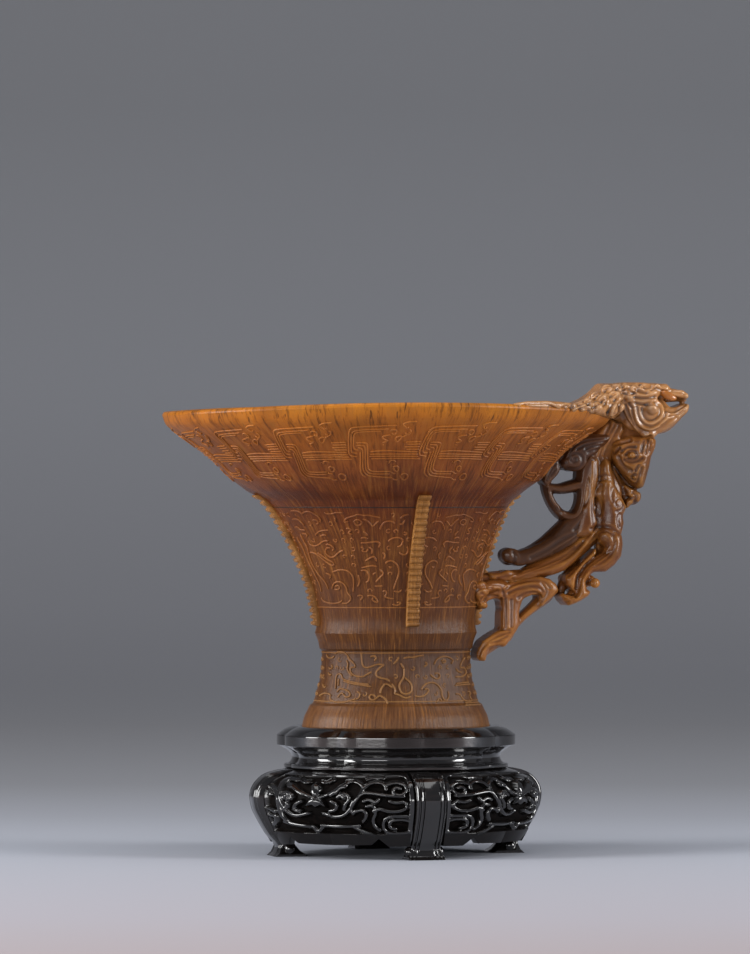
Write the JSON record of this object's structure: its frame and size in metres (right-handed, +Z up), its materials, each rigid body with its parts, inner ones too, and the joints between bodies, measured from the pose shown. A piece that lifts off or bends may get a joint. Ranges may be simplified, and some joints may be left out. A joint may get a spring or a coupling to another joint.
{
  "type": "horn drinking cup with a dragon handle on a carved stand",
  "caption": "Flared oval horn cup with notched flanges and an openwork dragon handle, standing loose on a lobed hardwood stand with cabriole legs and carved aprons.",
  "frame": {"origin": "on the floor, below the middle of the whole object's box", "axes": "+X along the mouth's length towards the handle, +Y across the mouth towards the back, +Z up"},
  "size_m": [0.1739, 0.1056, 0.1519],
  "materials": {
    "cup_horn": "polished carved horn, amber at the lip and brown below",
    "handle_horn": "polished carved horn, brown with paler raised edges",
    "stand_wood": "blackish polished hardwood"
  },
  "bodies": {
    "stand": {"stand_board": "stand_wood", "stand_waist": "stand_wood", "stand_collar": "stand_wood", "leg_right": "stand_wood", "leg_back": "stand_wood", "leg_left": "stand_wood", "leg_front": "stand_wood", "apron_back_right": "stand_wood", "apron_back_left": "stand_wood", "apron_front_left": "stand_wood", "apron_front_right": "stand_wood"},
    "cup": {"cup_body": "cup_horn", "flange_right": "cup_horn", "flange_back": "cup_horn", "flange_left": "cup_horn", "flange_front": "cup_horn", "handle_root": "handle_horn", "handle_tail": "handle_horn", "handle_branch": "handle_horn", "handle_haunch": "handle_horn", "handle_trunk": "handle_horn", "handle_ring": "handle_horn", "handle_leaf": "handle_horn", "lower_dragon_head": "handle_horn", "rim_dragon_body": "handle_horn", "rim_dragon_head": "handle_horn"}
  },
  "joints": [
    {"name": "cup_lift", "type": "slide", "parent": "stand", "child": "cup", "axis": [0, 0, 1], "range_m": [0, 0.05]}
  ]
}
